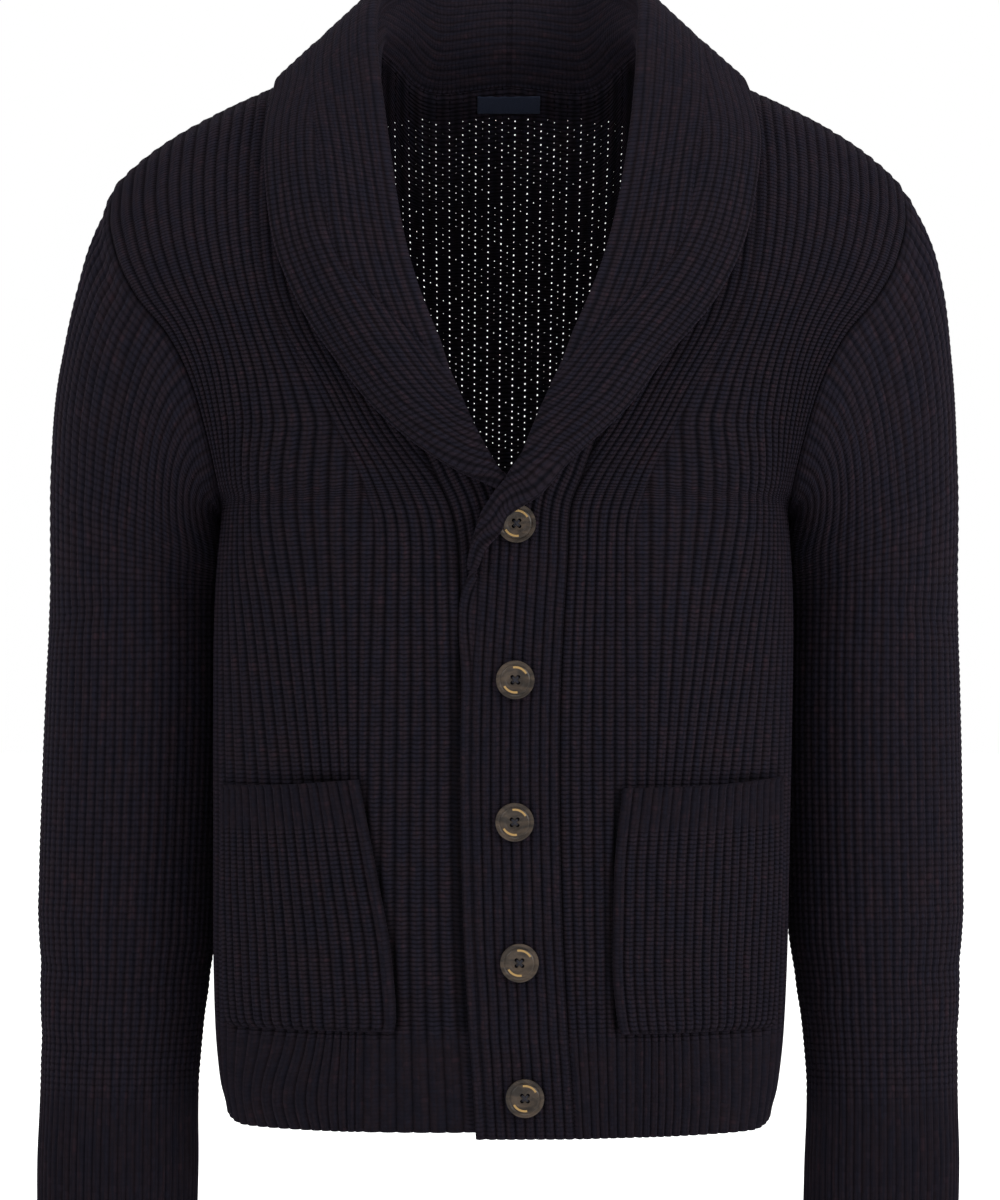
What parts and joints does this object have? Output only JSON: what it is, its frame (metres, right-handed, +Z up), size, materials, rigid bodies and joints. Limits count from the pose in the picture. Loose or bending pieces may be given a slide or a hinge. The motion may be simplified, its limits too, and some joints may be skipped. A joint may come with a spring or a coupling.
{
  "type": "shawl collar cardigan",
  "caption": "Chunky rib-knit cardigan with a shawl collar, buttoned front band, patch pockets and long sleeves, filled out as worn with neck, hem and cuffs open.",
  "frame": {"origin": "middle of the neck opening, level with the back neck seam, where the wearer's neck and shoulders hold the garment up", "axes": "+Z up along the body, +X to the wearer's left, -Y out of the buttoned front"},
  "size_m": [0.6105, 0.2679, 0.8344],
  "materials": {
    "knit": "matte heathered wool rib knit, very dark navy",
    "button": "satin dark brown horn",
    "label": "matte woven label, bare"
  },
  "bodies": {
    "root": {"front_left": "knit", "front_right": "knit", "back": "knit", "sleeve_left": "knit", "sleeve_right": "knit", "collar_left": "knit", "collar_right": "knit", "pocket_left": "knit", "pocket_right": "knit", "button_1": "button", "button_2": "button", "button_3": "button", "button_4": "button", "button_5": "button", "neck_label": "label"}
  },
  "joints": []
}
